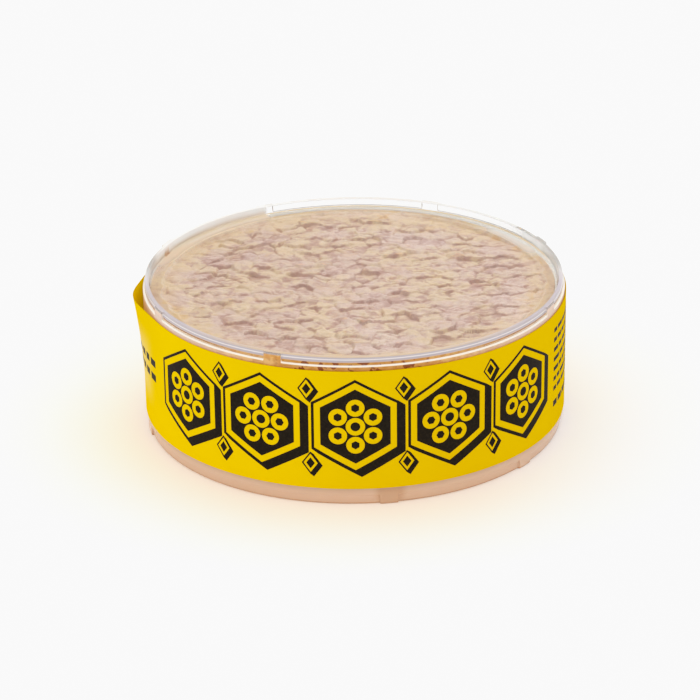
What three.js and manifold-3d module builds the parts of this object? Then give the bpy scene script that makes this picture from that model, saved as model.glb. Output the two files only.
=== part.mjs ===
// Round section of capped comb honey in its clear retail case.
//
// Two half rings of white plastic hold the comb. A clear cover is pushed over each side of them,
// and a plastic label is wrapped round both covers. The two covers are the same moulding, one of
// them turned over: each has a stacking ridge, which also serves as the foot, and lugs that fill
// the ledge outside the ridge so that they lie flush with the skirt.
//
// Millimetres, +Z up. The origin is on the case's axis, on the surface that the foot stands on.
// Azimuth 0 is the front, along -Y, and azimuth 90 is the right, along +X.

import * as THREE from 'three';
import { mergeVertices } from 'three/addons/utils/BufferGeometryUtils.js';
import Module from 'manifold-3d';

const wasm = await Module();
wasm.setup();

// ---------------------------------------------------------------- driving dimensions

const labelOuterRadius = 54.85;
const labelThickness = 0.2;
const labelBottom = 4.75;
const labelHeight = 31.75;

const totalHeight = 39.8;
const ridgeHeight = 2.3;
const ridgeOuterRadius = 54.0;
const ridgeWidth = 1.15;
const lugWidth = 4.6;
// Places of the lugs, in degrees of azimuth on the upper cover.
const lugAzimuths = [-21.7, -65, -114, -153.5, 157, 113, 65.5];
// The lower cover is turned over and then turned about the axis by this angle.
const lowerCoverTurn = -13;

const coverOuterRadius = 54.5;
const coverWall = 1.05;
const coverPanel = 1.0;
const shoulderRadius = 0.6;
const skirtGap = 0.6;

const ringOuterRadius = 53.1;
const ringInnerRadius = 51.4;

const combRadius = 51.05;
const cellPitch = 5.4;
const grooveDepth = 0.85;
const cellUnevenness = 0.5;
const plateUnevenness = 0.3;
const cornerUnevenness = 0.45;
const plateShare = 0.62;
// How far the wax falls away by the ring, and how much more so at the back on both sides.
const wallFall = 0.5;
const backWallFall = 1.6;
const wallFallWidth = 4.5;

const flareAzimuth = -84;
const flareHalfWidth = 9;
const flareReach = 1.5;
const flareStart = 12;
const seamAzimuth = 180;
const seamOverlap = 11;

const clearance = 0.3;
const roundSides = 64;

// ---------------------------------------------------------------- derived places

const middle = totalHeight / 2;
const coverTop = totalHeight - ridgeHeight;
const chamberHalf = middle - ridgeHeight - coverPanel - clearance;
const labelTop = labelBottom + labelHeight;
const labelInnerRadius = labelOuterRadius - labelThickness;

// ---------------------------------------------------------------- materials

const clearPlastic = () => new THREE.MeshStandardMaterial({
  color: '#eceff2', roughness: 0.08, metalness: 0, transparent: true, opacity: 0.3,
});
const whitePlastic = () => new THREE.MeshStandardMaterial({
  color: '#efeeea', roughness: 0.45, metalness: 0,
});
const cappedWax = () => new THREE.MeshStandardMaterial({
  color: '#dcbfa4', roughness: 0.6, metalness: 0,
});
const yellowFilm = () => new THREE.MeshStandardMaterial({
  color: '#ecc803', roughness: 0.35, metalness: 0,
});

// ---------------------------------------------------------------- helpers

const radians = THREE.MathUtils.degToRad;

// The point at an azimuth, a radius and a height.
function onCylinder(azimuth, radius, z) {
  return [radius * Math.sin(radians(azimuth)), -radius * Math.cos(radians(azimuth)), z];
}

// A number from 0 to 1 that is always the same for the same two whole numbers.
function seeded(a, b) {
  const value = Math.sin(a * 127.1 + b * 311.7 + 74.7) * 43758.5453;
  return value - Math.floor(value);
}

function geometryOf(points, faces) {
  const geometry = new THREE.BufferGeometry();
  geometry.setAttribute('position', new THREE.Float32BufferAttribute(points.flat(), 3));
  geometry.setIndex(faces.flat());
  return geometry;
}

// The same geometry with shared corners and no face of zero area.
function welded(geometry) {
  const bare = geometry.clone();
  bare.deleteAttribute('normal');
  bare.deleteAttribute('uv');
  const merged = mergeVertices(bare, 1e-4);
  const faces = [];
  for (let i = 0; i < merged.index.count; i += 3) {
    const [a, b, c] = [0, 1, 2].map((k) => merged.index.getX(i + k));
    if (a !== b && b !== c && c !== a) faces.push([a, b, c]);
  }
  merged.setIndex(faces.flat());
  return merged;
}

function solidOf(geometry) {
  const mesh = welded(geometry);
  return new wasm.Manifold(new wasm.Mesh({
    numProp: 3,
    vertProperties: new Float32Array(mesh.attributes.position.array),
    triVerts: new Uint32Array(mesh.index.array),
  }));
}

function geometryFrom(solid) {
  const mesh = solid.getMesh();
  const geometry = new THREE.BufferGeometry();
  geometry.setAttribute('position', new THREE.BufferAttribute(mesh.vertProperties, 3));
  geometry.setIndex(new THREE.BufferAttribute(mesh.triVerts, 1));
  return geometry;
}

// A body turned about Z from a closed outline of [radius, z] points that runs anticlockwise, with
// the radius to the right. Its first corner is at azimuth 0.
function turned(outline) {
  const profile = outline.map(([radius, z]) => new THREE.Vector2(radius, z));
  const geometry = new THREE.LatheGeometry(profile, roundSides);
  geometry.rotateX(Math.PI / 2);
  return geometry;
}

function named(name, geometry, material) {
  const mesh = new THREE.Mesh(welded(geometry), material);
  mesh.name = name;
  mesh.geometry.computeVertexNormals();
  return mesh;
}

// ---------------------------------------------------------------- clear covers

// Outline of the upper cover: a flat panel with a skirt below its edge and a ridge above it.
function coverOutline() {
  const under = coverTop - coverPanel;
  const skirtEnd = middle + skirtGap / 2;
  const ridgeInner = ridgeOuterRadius - ridgeWidth;
  const ridgeEase = 0.25;
  const bevel = shoulderRadius * (1 - Math.SQRT1_2);
  return [
    [0, under],
    [coverOuterRadius - coverWall, under],
    [coverOuterRadius - coverWall, skirtEnd],
    [coverOuterRadius, skirtEnd],
    [coverOuterRadius, coverTop - shoulderRadius],
    [coverOuterRadius - bevel, coverTop - bevel],
    [ridgeOuterRadius, coverTop],
    [ridgeOuterRadius, totalHeight - ridgeEase],
    [ridgeOuterRadius - ridgeEase, totalHeight],
    [ridgeInner, totalHeight],
    [ridgeInner, coverTop],
    [0, coverTop],
  ];
}

// A block between the ridge and the skirt's outer surface, as high as the ridge.
function lug(azimuth) {
  const inner = ridgeOuterRadius - ridgeWidth / 2;
  const outer = Math.sqrt(coverOuterRadius ** 2 - (lugWidth / 2) ** 2) - 0.02;
  const height = ridgeHeight + shoulderRadius;
  const block = new THREE.BoxGeometry(lugWidth, outer - inner, height);
  block.translate(0, -(inner + outer) / 2, totalHeight - height / 2);
  block.rotateZ(radians(azimuth));
  return solidOf(block);
}

function coverGeometry() {
  let cover = solidOf(turned(coverOutline()));
  for (const azimuth of lugAzimuths) cover = cover.add(lug(azimuth));
  return geometryFrom(cover);
}

function upperCover() {
  return named('cover_top', coverGeometry(), clearPlastic());
}

// The same moulding, turned over about the front-to-back line.
function lowerCover() {
  const geometry = coverGeometry();
  geometry.rotateY(Math.PI);
  geometry.translate(0, 0, totalHeight);
  geometry.rotateZ(radians(lowerCoverTurn));
  return named('cover_bottom', geometry, clearPlastic());
}

// ---------------------------------------------------------------- white section rings

function sectionRing(name, low, high) {
  const outline = [
    [ringInnerRadius, low],
    [ringOuterRadius, low],
    [ringOuterRadius, high],
    [ringInnerRadius, high],
    [ringInnerRadius, low],
  ];
  return named(name, turned(outline), whitePlastic());
}

// ---------------------------------------------------------------- capped comb

// How far the wax lies below its full height: the bees leave it lower by the wall, most of all
// at the back on both sides.
function fallAtWall(x, y) {
  const fromWall = combRadius - Math.hypot(x, y);
  const azimuth = Math.atan2(x, -y);
  const backSides = Math.max(0, -Math.cos(azimuth)) * Math.abs(Math.sin(azimuth)) * 2;
  const depth = wallFall + backWallFall * backSides;
  return depth * Math.exp(-((fromWall / wallFallWidth) ** 2));
}

// Heights of a cell's cap and of the groove corner that three cells share, counted down from the
// full height of the wax.
function capDrop(column, row, x, y) {
  return cellUnevenness * seeded(column, row) + fallAtWall(x, y);
}

function cornerDrop(x, y) {
  const a = Math.round(x * 10);
  const b = Math.round(y * 10);
  return grooveDepth + cornerUnevenness * seeded(a, b) + fallAtWall(x, y);
}

// A slab of hexagonal cells, wider than the section: each cap on top is a raised plate with
// sloping sides, and each cap below is a low pyramid.
function cellSlab() {
  const points = [];
  const faces = [];
  const corners = new Map();
  const edges = new Map();
  const cornerReach = cellPitch / Math.sqrt(3);
  const top = middle + chamberHalf;
  const bottom = middle - chamberHalf;

  function addPoint(x, y, z) {
    points.push([x, y, z]);
    return points.length - 1;
  }

  // The upper and lower groove corner at a place, shared by the cells round it.
  function cornerAt(x, y) {
    const key = `${Math.round(x * 100)},${Math.round(y * 100)}`;
    if (!corners.has(key)) {
      const drop = cornerDrop(x, y);
      corners.set(key, [addPoint(x, y, top - drop), addPoint(x, y, bottom + drop)]);
    }
    return corners.get(key);
  }

  function addCell(column, row, x, y) {
    const drop = capDrop(column, row, x, y);
    const lower = addPoint(x, y, bottom + drop);
    const plate = [];
    const groove = [];
    for (let k = 0; k < 6; k += 1) {
      const angle = radians(60 * k + 30);
      const dx = cornerReach * Math.cos(angle);
      const dy = cornerReach * Math.sin(angle);
      const sag = plateUnevenness * seeded(column * 7 + k, row);
      plate.push(addPoint(x + plateShare * dx, y + plateShare * dy, top - drop - sag));
      groove.push(cornerAt(x + dx, y + dy));
    }
    for (let k = 0; k < 6; k += 1) {
      const next = (k + 1) % 6;
      const [upperHere, lowerHere] = groove[k];
      const [upperNext, lowerNext] = groove[next];
      faces.push([plate[k], upperHere, upperNext]);
      faces.push([plate[k], upperNext, plate[next]]);
      faces.push([lower, lowerNext, lowerHere]);
      edges.set(`${upperHere},${upperNext}`, [upperHere, upperNext, lowerHere, lowerNext]);
    }
    for (let k = 1; k < 5; k += 1) faces.push([plate[0], plate[k], plate[k + 1]]);
  }

  const rowPitch = cellPitch * Math.sqrt(3) / 2;
  const reach = combRadius + cellPitch * 0.75;
  const rows = Math.ceil(reach / rowPitch);
  const columns = Math.ceil(reach / cellPitch) + 1;
  for (let row = -rows; row <= rows; row += 1) {
    for (let column = -columns; column <= columns; column += 1) {
      const x = (column + (Math.abs(row) % 2) / 2) * cellPitch;
      const y = row * rowPitch;
      if (Math.hypot(x, y) < reach) addCell(column, row, x, y);
    }
  }

  // Sides, where a cell's edge has no neighbour.
  for (const [a, b, lowerA, lowerB] of edges.values()) {
    if (!edges.has(`${b},${a}`)) {
      faces.push([a, lowerA, lowerB]);
      faces.push([a, lowerB, b]);
    }
  }
  return geometryOf(points, faces);
}

// The slab cut to the round that the rings hold.
function comb() {
  const round = turned([
    [0, 0],
    [combRadius, 0],
    [combRadius, totalHeight],
    [0, totalHeight],
  ]);
  const cut = solidOf(cellSlab()).intersect(solidOf(round));
  return named('comb', geometryFrom(cut), cappedWax());
}

// ---------------------------------------------------------------- wrapped label

// How far the label stands off the case: its upper edge has come loose at the left.
function labelFlare(azimuth, z) {
  const across = (azimuth - flareAzimuth) / flareHalfWidth;
  const up = Math.max(0, (z - flareStart) / (labelTop - flareStart));
  return flareReach * Math.exp(-(across ** 2)) * up ** 1.7;
}

// One strip that goes all the way round. Its end lies over its start at the back, where it is
// two films thick.
function label() {
  const overlapDegrees = THREE.MathUtils.radToDeg(seamOverlap / labelOuterRadius);
  const seamStep = 0.15;
  const flareStep = 2.8;
  const azimuths = [];
  for (let k = 0; k < roundSides; k += 1) {
    azimuths.push(seamAzimuth - 360 + (360 * k) / roundSides);
  }
  azimuths.push(seamAzimuth - overlapDegrees, seamAzimuth - seamStep);
  azimuths.push(flareAzimuth - flareStep, flareAzimuth + flareStep);
  azimuths.sort((a, b) => a - b);
  const heights = [labelBottom, 18, 28, labelTop];
  const points = [];
  const faces = [];
  const columnSize = heights.length * 2;

  for (const azimuth of azimuths) {
    const doubled = azimuth > seamAzimuth - overlapDegrees - 0.01;
    const outer = labelOuterRadius + (doubled ? labelThickness : 0);
    for (const z of heights) {
      const flare = labelFlare(azimuth, z);
      points.push(onCylinder(azimuth, labelInnerRadius + flare, z));
      points.push(onCylinder(azimuth, outer + flare, z));
    }
  }
  for (let i = 0; i < azimuths.length; i += 1) {
    const here = i * columnSize;
    const there = ((i + 1) % azimuths.length) * columnSize;
    const quad = (a, b, c, d) => faces.push([a, b, c], [a, c, d]);
    for (let j = 0; j < columnSize - 2; j += 2) {
      quad(here + j + 1, there + j + 1, there + j + 3, here + j + 3);
      quad(here + j, here + j + 2, there + j + 2, there + j);
    }
    const last = columnSize - 2;
    quad(here, there, there + 1, here + 1);
    quad(here + last, here + last + 1, there + last + 1, there + last);
  }
  return named('label', geometryOf(points, faces), yellowFilm());
}

// ---------------------------------------------------------------- assembly

const section = new THREE.Group();
section.name = 'comb_honey_section';
section.add(comb());
section.add(sectionRing('ring_lower', middle - chamberHalf, middle - clearance / 2));
section.add(sectionRing('ring_upper', middle + clearance / 2, middle + chamberHalf));
section.add(lowerCover());
section.add(upperCover());
section.add(label());

export default section;
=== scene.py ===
"""Looks of a round comb honey section in its clear case: capped wax under a clear cover, white
section rings, a second cover turned over as the foot, and a yellow label with black ornament.

Metres, +Z up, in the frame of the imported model. Azimuth 0 is the front, along -Y, and azimuth 90
is the right, along +X.
"""

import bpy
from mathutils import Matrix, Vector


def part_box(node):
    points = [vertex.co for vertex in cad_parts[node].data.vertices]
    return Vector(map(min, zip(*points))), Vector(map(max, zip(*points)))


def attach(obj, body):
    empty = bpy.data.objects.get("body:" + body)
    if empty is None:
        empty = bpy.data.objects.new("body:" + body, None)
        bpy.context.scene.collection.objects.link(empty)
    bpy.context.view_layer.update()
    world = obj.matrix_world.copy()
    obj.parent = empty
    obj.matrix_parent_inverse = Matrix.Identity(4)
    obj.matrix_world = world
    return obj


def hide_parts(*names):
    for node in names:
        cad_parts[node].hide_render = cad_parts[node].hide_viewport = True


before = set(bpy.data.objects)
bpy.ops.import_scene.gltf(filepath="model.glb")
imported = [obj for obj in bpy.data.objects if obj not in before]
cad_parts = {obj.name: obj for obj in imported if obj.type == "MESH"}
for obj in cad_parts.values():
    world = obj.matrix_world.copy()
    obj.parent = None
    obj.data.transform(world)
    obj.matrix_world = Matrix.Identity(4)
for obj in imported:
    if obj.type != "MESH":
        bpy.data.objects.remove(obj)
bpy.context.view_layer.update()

import math

import bpy
import numpy as np
from mathutils import Matrix, Vector
from mathutils.geometry import delaunay_2d_cdt

MM = 0.001

# ---------------------------------------------------------------- sizes, from the frame

COVER_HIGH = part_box("cover_top")[1]
RING_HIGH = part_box("ring_upper")[1]
LABEL_LOW, LABEL_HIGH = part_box("label")

HEIGHT = COVER_HIGH.z
MIDDLE = HEIGHT / 2
COVER_RADIUS = COVER_HIGH.x
RING_RADIUS = RING_HIGH.x
COMB_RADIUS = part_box("comb")[1].x
LABEL_RADIUS = -LABEL_LOW.y
LABEL_SLIP = 0.2 * MM         # how far the label has slipped down
LABEL_BOTTOM = LABEL_LOW.z - LABEL_SLIP
LABEL_TOP = LABEL_HIGH.z - LABEL_SLIP

# ---------------------------------------------------------------- sizes of the moulded parts

RIDGE_HEIGHT = 2.3 * MM
RIDGE_OUTER = 54.0 * MM
RIDGE_WIDTH = 1.15 * MM
LUG_AZIMUTHS = (-21.7, -65, -114, -153.5, 157, 113, 65.5)
LUG_WIDTH = 4.6 * MM
LOWER_COVER_TURN = -13
COVER_WALL = 1.05 * MM
COVER_PANEL = 1.0 * MM
SKIRT_GAP = 0.6 * MM
RING_WALL = 1.7 * MM
CHAMBER_HALF = RING_HIGH.z - MIDDLE
PANEL_TOP = HEIGHT - RIDGE_HEIGHT
PANEL_UNDER = PANEL_TOP - COVER_PANEL
RIDGE_INNER = RIDGE_OUTER - RIDGE_WIDTH

# ---------------------------------------------------------------- haze, stains and painted light, in degrees

MILKY_START = -154            # the milky stretch of the ridge ends sharply at a lug,
MILKY_FADE = (-112, -92)      # and at its other end it fades
MILKY_SPOT = 122              # a milky spot at the back on the right
SIDE_HAZE = 103               # each side of the front, the ridge is hazed round here
BROWN_GLINT = -111             # a painted glint, brown, by the ridge
# the lug with a brown painted highlight at its crest
HIGHLIGHTED_LUG = LUG_AZIMUTHS[4]
FOOT_SHADE = 9                # painted shade on the foot, at one lug
SOAKED = (16, 58)             # honey fills the rim up to here, and thins out to here
FRONT_WAX = (66, 80)          # wax reaches the skirt up to here, and falls back to here
BAND_FADE = (80, 98)          # the other marks in front fade out between these
FOOT_FADE = (80, 100)
LEDGE_HIGHLIGHT_FADE = (78, 100)
EDGE_FADE = (96, 112)         # and the haze at the back fades in

# ---------------------------------------------------------------- finish of the ridge's wall

BAND_LOW = 38.3 * MM          # from here up to its crest the wall is clouded with painted reflections, in stripes
BAND_TOP = 39.65 * MM
BAND_HEIGHT = BAND_TOP - BAND_LOW
BAND_REFLECTION_STOPS = (                # painted reflections, from the band's foot, 0, to its top, 1
    (0.0, "#c9b4a2"), (0.12, "#b7abb0"), (0.38, "#b6acb2"), (0.48, "#eae3e0"),
    (0.60, "#e7dfdd"), (0.70, "#b5acb2"), (1.0, "#c4b8b6"),
)

# ---------------------------------------------------------------- the label

FILM = 0.14 * MM
SEAM_AZIMUTH = 180
SEAM_OVERLAP = 11 * MM
FLARE_AZIMUTH = -84
FLARE_HALF_WIDTH = 10
FLARE_REACH = 2.3 * MM
FLARE_START = 12 * MM
INK = 0.035 * MM
SHEEN_AZIMUTH = -80           # where the film by its loose corner is shinier

# ---------------------------------------------------------------- its ornament, in millimetres

PLATE_PITCH = 24.0
PLATE_RADIUS = 12.6
PLATE_LEVEL = 17.0            # how high the plates' middles are above the label's lower edge
SMALL_PRINT = (64.5, 88.0)    # from the label's middle, at the side
PRINT_LOW, PRINT_HIGH = (-100, 0), (100, 32)

# ---------------------------------------------------------------- the studio

PAINTED_GLOW_REACH = 108 * MM         # how far round the case the paper glows with painted light
PAINTED_GLOW_TOWARD = (-0.45, -1.0, 0.0)
LAMP_PLACE = (0.15, 0.85, 1.0)
LAMP_SIZE = 0.3
LAMP_POWER = 3.2
PAPER_HALF = 3.0
PAPER_DROP = 0.05 * MM        # how far the paper lies below the foot

# ---------------------------------------------------------------- the comb

CELL_PITCH = 5.4 * MM
CELL_JITTER = 0.14            # how far cells are off their places, in pitches
CAP_STEP = 0.32 * MM          # how much caps differ in height
CAP_SINK = 0.55 * MM          # how far the deepest cap is sunk
CAP_CROWN = 0.16 * MM         # how much a cap's border lies below its middle
CAP_BLEND = 0.10 * MM         # over how much a cap's height runs into the next one's
CAP_LEAN = 0.055              # each cap laps over the next one in front like a shingle
CAP_LEAN_SPREAD = 0.06
GAP_DEPTH = 0.36 * MM         # gaps between caps
GAP_WIDTH = 0.34 * MM
CRUMPLE = 0.14 * MM
FOLD_PITCH = 2.35 * MM        # small folds that lap over each other within a cap
FOLD_STEP = 0.11 * MM
FOLD_BRINK = 0.8              # the share of a fold's pitch over which it sinks
COMB_WAVE = 0.10 * MM
CAP_RISE = 0.25 * MM          # how far the highest caps stand over the rings
WALL_FALL = 0.1 * MM          # how far the wax falls away by the wall
WALL_FALL_WIDTH = 4.5 * MM
SIDE_FALLS = (                # where it falls further: azimuth, half the width, how far
    (-128, 22, 0.7 * MM),
    (138, 20, 0.9 * MM),
)
FACE_CELLS = 284              # squares across the upper face's mesh, four times the lower's

# ---------------------------------------------------------------- camera

FOCAL_PIXELS = 3078.6
FRAME_PIXELS = 700
SENSOR_MM = 36
CAMERA_DISTANCE = 0.8116
CAMERA_ELEVATION = math.radians(25.11)
CAMERA_ROLL = 0.011
BASE_PIXEL = (355.2, 411.4)


# ================================================================ shader arithmetic

class Wire:
    """A socket of a finish. Arithmetic on it adds Math nodes, so sums are written as sums."""

    def __init__(self, finish, socket):
        self.finish, self.socket = finish, socket

    def _math(self, operation, *terms):
        settings = {"operation": operation}
        return self.finish.node("ShaderNodeMath", settings, dict(enumerate(terms)))

    def __add__(self, other):
        return self._math("ADD", self, other)

    def __sub__(self, other):
        return self._math("SUBTRACT", self, other)

    def __mul__(self, other):
        return self._math("MULTIPLY", self, other)

    def __truediv__(self, other):
        return self._math("DIVIDE", self, other)

    def __radd__(self, other):
        return self._math("ADD", other, self)

    def __rsub__(self, other):
        return self._math("SUBTRACT", other, self)

    def __rmul__(self, other):
        return self._math("MULTIPLY", other, self)

    def ramp(self, low, high):
        """0 where this is at low and 1 where it is at high, eased between."""
        settings = {"interpolation_type": "SMOOTHSTEP"}
        sockets = {"Value": self, "From Min": low, "From Max": high}
        return self.finish.node("ShaderNodeMapRange", settings, sockets)


class Finish:
    """The nodes of one material, or of the room's light. They come from node(), and show() gives
    what they end in to the output."""

    def __init__(self, owner):
        self.owner = owner
        owner.use_nodes = True
        self.tree = owner.node_tree
        self.tree.nodes.clear()

    def node(self, kind, settings=None, sockets=None, output=0):
        """Adds a node: its settings first, then its sockets' values or links."""
        made = self.tree.nodes.new(kind)
        for name, value in (settings or {}).items():
            if name == "stops":
                self._stops(made.color_ramp, value)
            else:
                setattr(made, name, value)
        for name, value in (sockets or {}).items():
            self.plug(made.inputs[name], value)
        return Wire(self, made.outputs[output])

    def _stops(self, ramp, stops):
        while len(ramp.elements) < len(stops):
            ramp.elements.new(1.0)
        for element, (place, colour) in zip(ramp.elements, stops):
            element.position = place
            element.color = rgba(colour)

    def plug(self, socket, value):
        if isinstance(value, Wire):
            self.tree.links.new(value.socket, socket)
        elif socket.type == "RGBA":
            socket.default_value = rgba(value)
        else:
            socket.default_value = value

    def place(self):
        return self.node("ShaderNodeTexCoord", output="Object")

    def noise(self, scale, detail, roughness):
        """Even noise from 0 to 1 that stays with the piece."""
        sockets = {"Scale": scale, "Detail": detail, "Roughness": roughness}
        sockets["Vector"] = self.place()
        return self.node("ShaderNodeTexNoise", None, sockets, "Fac")

    def painted(self, name):
        """A value that the mesh carries at its points."""
        return self.node("ShaderNodeAttribute", {"attribute_name": name}, output="Fac")

    def mixed(self, share, first, second):
        """Two colours, the second one to the given share."""
        sockets = {0: share, 6: first, 7: second}
        return self.node("ShaderNodeMix", {"data_type": "RGBA"}, sockets, 2)

    def bump(self, height, strength, distance):
        sockets = {"Height": height, "Strength": strength, "Distance": distance}
        return self.node("ShaderNodeBump", None, sockets)

    def shader(self, **sockets):
        named = {name.replace("_", " "): value for name, value in sockets.items()}
        return self.node("ShaderNodeBsdfPrincipled", None, named)

    def show(self, shader, kind="ShaderNodeOutputMaterial"):
        self.plug(self.tree.nodes.new(kind).inputs["Surface"], shader)
        return self.owner


def material(name):
    return Finish(bpy.data.materials.new(name))


def rgba(colour):
    """A colour given as "#rrggbb", in the eye's scale, as linear red, green, blue and alpha."""
    parts = [int(colour[i:i + 2], 16) / 255 for i in (1, 3, 5)]
    return (*[p / 12.92 if p < 0.04045 else ((p + 0.055) / 1.055) ** 2.4 for p in parts], 1.0)


# ================================================================ finishes

def wax_finish():
    """Capped wax: cream caps, some pinker and some yellower, mottled with pinkish brown. Painted
    shade darkens it in the gaps between caps, in the creases of folds and on sunk caps, where
    honey-wet wax shows as well. It is yellower by the wall, paler where it is pressed against the
    cover, and soaked with honey by the wall in front."""
    f = material("capped_wax")
    hollow = f.painted("hollow")
    tone = f.painted("tone")
    wall = f.painted("wall")
    soaked = f.painted("soaked")
    blush = f.noise(90, 3.0, 0.6)
    mottle = f.noise(300, 4.0, 0.62)
    spots = f.noise(430, 3.0, 0.6)
    grain = f.noise(1100, 3.0, 0.6)
    colour = f.mixed(blush.ramp(0.42, 0.58), "#dcb688", "#d4ab94")
    colour = f.mixed(tone.ramp(0.4, 1.0) * 0.35, colour, "#dcb986")
    colour = f.mixed(mottle.ramp(0.50, 0.60) * 0.6, colour, "#b5826c")
    colour = f.mixed(grain.ramp(0.5, 0.7) * 0.4, colour, "#e8cfb2")
    colour = f.mixed(wall * 0.35, colour, "#e0b575")
    amber = f.noise(170, 2.0, 0.5).ramp(0.58, 0.66)
    colour = f.mixed(amber * (0.2 + 0.5 * wall), colour, "#d9a24c")
    # painted shade in the gaps, creases and sunk caps, with the wax's own mottling and spots
    shaded_dips = (hollow + (mottle - 0.5) * 1.1 + (spots - 0.5) * 0.9).ramp(0.12, 0.6)
    colour = f.mixed(shaded_dips * 0.6, colour, "#a5664c")
    colour = f.mixed(f.painted("pressed") * 0.35, colour, "#f4dbb4")
    honey = f.mixed(mottle.ramp(0.4, 0.6), "#d09a52", "#bd8038")
    colour = f.mixed(soaked, colour, honey)
    blobs = f.noise(230, 2.0, 0.5).ramp(0.50, 0.55)
    colour = f.mixed(soaked.ramp(0.3, 0.9) * blobs, colour, "#7b3e05")
    wrinkles = f.bump(f.noise(700, 4.0, 0.65), 0.6, 0.35 * MM)
    shader = f.shader(
        Base_Color=colour,
        Roughness=0.45 + 0.2 * grain,
        Subsurface_Weight=0.12,
        Subsurface_Radius=(1.0, 0.5, 0.25),
        Subsurface_Scale=0.4 * MM,
        Normal=wrinkles,
    )
    return f.show(shader)


def clear_finish(name, milk="#e2e2de"):
    """Clear polystyrene, cloudy to the share that the marks on its mesh say. What clouds it is
    haze, and wax or honey that shows through, and painted light: painted reflections on the
    ridge's wall, painted highlights on the ledge and on one lug, a painted glint, painted shade at
    the foot and a painted glow on the hazed walls. Lamps shine through it onto what it covers."""
    f = material(name)
    smears = f.noise(45, 3.0, 0.6)
    roughness = 0.015 + 0.03 * smears.ramp(0.45, 0.75)
    glass = f.shader(
        Base_Color="#fbfcfd", Roughness=roughness, IOR=1.5, Transmission_Weight=1.0
    )
    level = f.node("ShaderNodeSeparateXYZ", None, {"Vector": f.place()}, "Z")
    up = level / BAND_HEIGHT - BAND_LOW / BAND_HEIGHT      # 0 at the band's foot, 1 at its top
    # painted reflections: lavender-grey stripes up the ridge's wall, light in the middle
    painted_reflection_stripes = f.node("ShaderNodeValToRGB", {"stops": BAND_REFLECTION_STOPS}, {"Fac": up}, "Color")
    on_band = up.ramp(-0.05, 0.03)
    haze = f.painted("haze")
    band = f.painted("band") * on_band
    edge = f.painted("edge") * (1 - up.ramp(-0.56, -0.36))
    ledge = f.painted("ledge")
    foot = f.painted("foot")
    soaked = f.painted("soaked")
    below = f.painted("wall") * (1 - on_band)
    line = up.ramp(-0.30, -0.22)                           # a dark line at the band's foot
    colour = f.mixed(smears.ramp(0.35, 0.7) * 0.2, milk, "#d9b08c")
    colour = f.mixed(f.painted("cream") * (1 - up.ramp(-0.8, 0.45)), colour, "#e2c8a8")
    colour = f.mixed(edge, colour, f.mixed(up.ramp(-0.80, -0.62), "#e3dccd", "#d2b88f"))
    # painted reflection on the crest, lavender grey, and amber where honey shows through
    crest = f.mixed(soaked, "#b9afb4", "#cfb394")
    colour = f.mixed(band, colour, f.mixed(up.ramp(0.93, 1.0), painted_reflection_stripes, crest))
    streaks = f.noise(500, 3.0, 0.6).ramp(0.40, 0.62)
    honey = f.mixed(streaks, "#e3ad62", "#cb8c40")
    deep = soaked.ramp(0.95, 1.0)
    honey = f.mixed(deep * 0.6, honey, "#b87826")
    blobs = f.noise(430, 2.0, 0.5).ramp(0.56, 0.60)
    honey = f.mixed(deep * blobs, honey, "#833f02")
    honey = f.mixed(soaked, f.mixed(below, "#dcbca6", "#a06a3a"), honey)
    colour = f.mixed(foot + below, colour, honey)
    # painted highlight on the ledge in front
    colour = f.mixed(ledge, colour, "#fbeedd")
    # a painted glint on the upper cover, and painted shade at the foot
    colour = f.mixed(f.painted("patch"), colour, "#bd8a5c")
    # a brown painted highlight near the crest of one lug at the back
    colour = f.mixed(f.painted("rust") * up.ramp(0.6, 0.95), colour, "#b58a52")
    # painted light: hazed walls above the panel glow a little, as bright as the panel under the
    # bright sky overhead
    painted_glow = f.mixed(up.ramp(-0.4, 0.5) * haze, "#000000", "#ffffff")
    cloudy = f.shader(
        Base_Color=colour,
        Roughness=0.3,
        Specular_IOR_Level=0.2,
        Subsurface_Weight=0.3,
        Subsurface_Radius=(1.0, 0.8, 0.7),
        Subsurface_Scale=0.8 * MM,
        Emission_Color=painted_glow,
        Emission_Strength=0.19,
    )
    share = haze + 0.92 * band + 0.85 * edge + 0.9 * ledge + 0.9 * foot
    share = share + below * (soaked * 0.85 + (1 - soaked) * line * 0.7)
    body = f.node("ShaderNodeMixShader", None, {0: share, 1: glass, 2: cloudy})
    through = f.node("ShaderNodeBsdfTransparent", None, {"Color": "#f4f5f6"})
    shadow_ray = f.node("ShaderNodeLightPath", output="Is Shadow Ray")
    return f.show(f.node("ShaderNodeMixShader", None, {0: shadow_ray, 1: body, 2: through}))


def ring_finish():
    """Milky white plastic of the section rings, waxed over in places."""
    f = material("white_plastic")
    wax = f.noise(120, 3.0, 0.55).ramp(0.55, 0.7)
    colour = f.mixed(wax * 0.35, "#cfc3b0", "#c2a980")
    shader = f.shader(
        Base_Color=colour,
        Roughness=0.4 + 0.1 * wax,
        Subsurface_Weight=0.3,
        Subsurface_Radius=(1.0, 0.95, 0.9),
        Subsurface_Scale=1.0 * MM,
    )
    return f.show(shader)


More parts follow.
